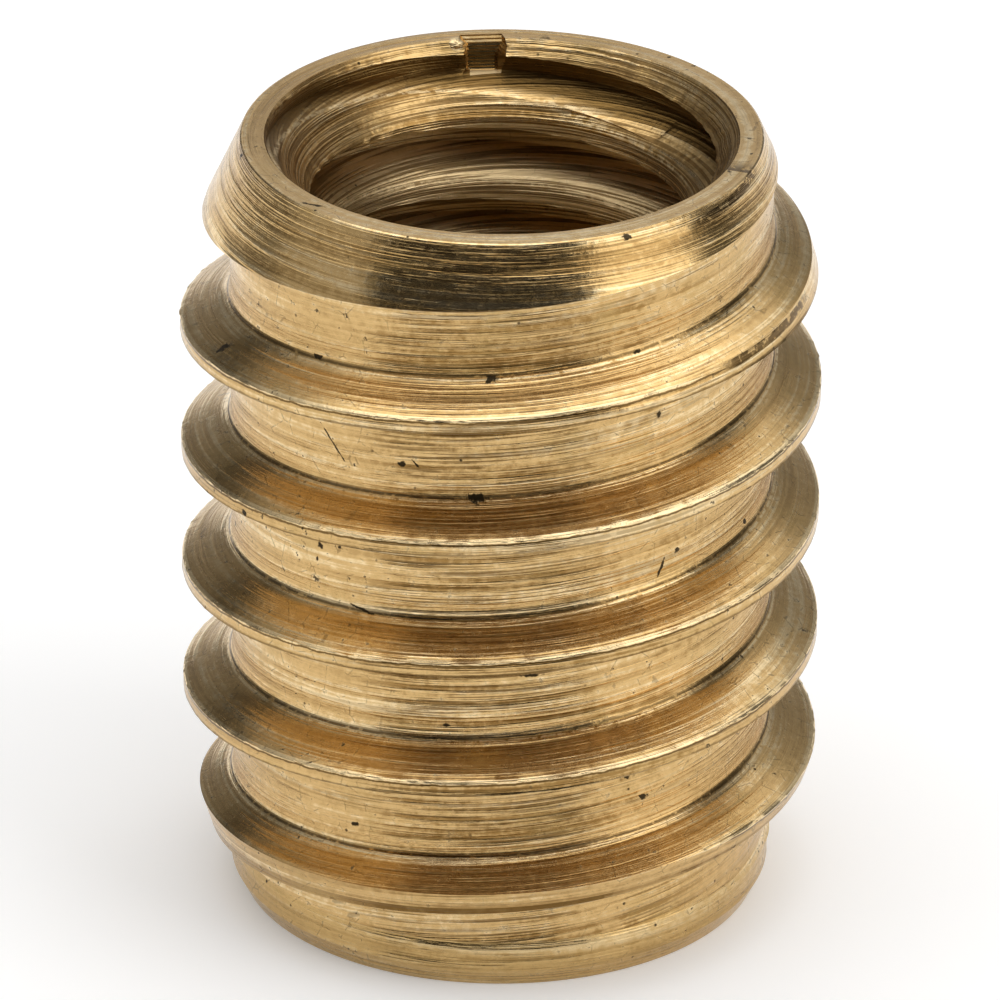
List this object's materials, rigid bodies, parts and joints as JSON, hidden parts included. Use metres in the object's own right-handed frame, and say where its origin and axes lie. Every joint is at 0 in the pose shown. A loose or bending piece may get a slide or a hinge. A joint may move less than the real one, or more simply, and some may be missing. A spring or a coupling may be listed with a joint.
{
  "type": "threaded insert",
  "caption": "Self-tapping brass insert: a coarse knife thread outside grips wood, and a fine screw thread inside takes a machine screw. It is turned in by the notch in its rim.",
  "frame": {"origin": "on the axis, in the plane of the flat lower end that the insert stands on, which is its lead-in end", "axes": "+Z along the axis of both threads, up to the driven end, where the screw goes in; the driving notch is on the +Y side"},
  "size_m": [0.0114, 0.0114, 0.0146],
  "materials": {
    "brass": "bare turned brass with fine tool marks round it, small burrs on the thread's edges and a few nicks and pits"
  },
  "bodies": {
    "root": {"insert": "brass"}
  },
  "joints": []
}
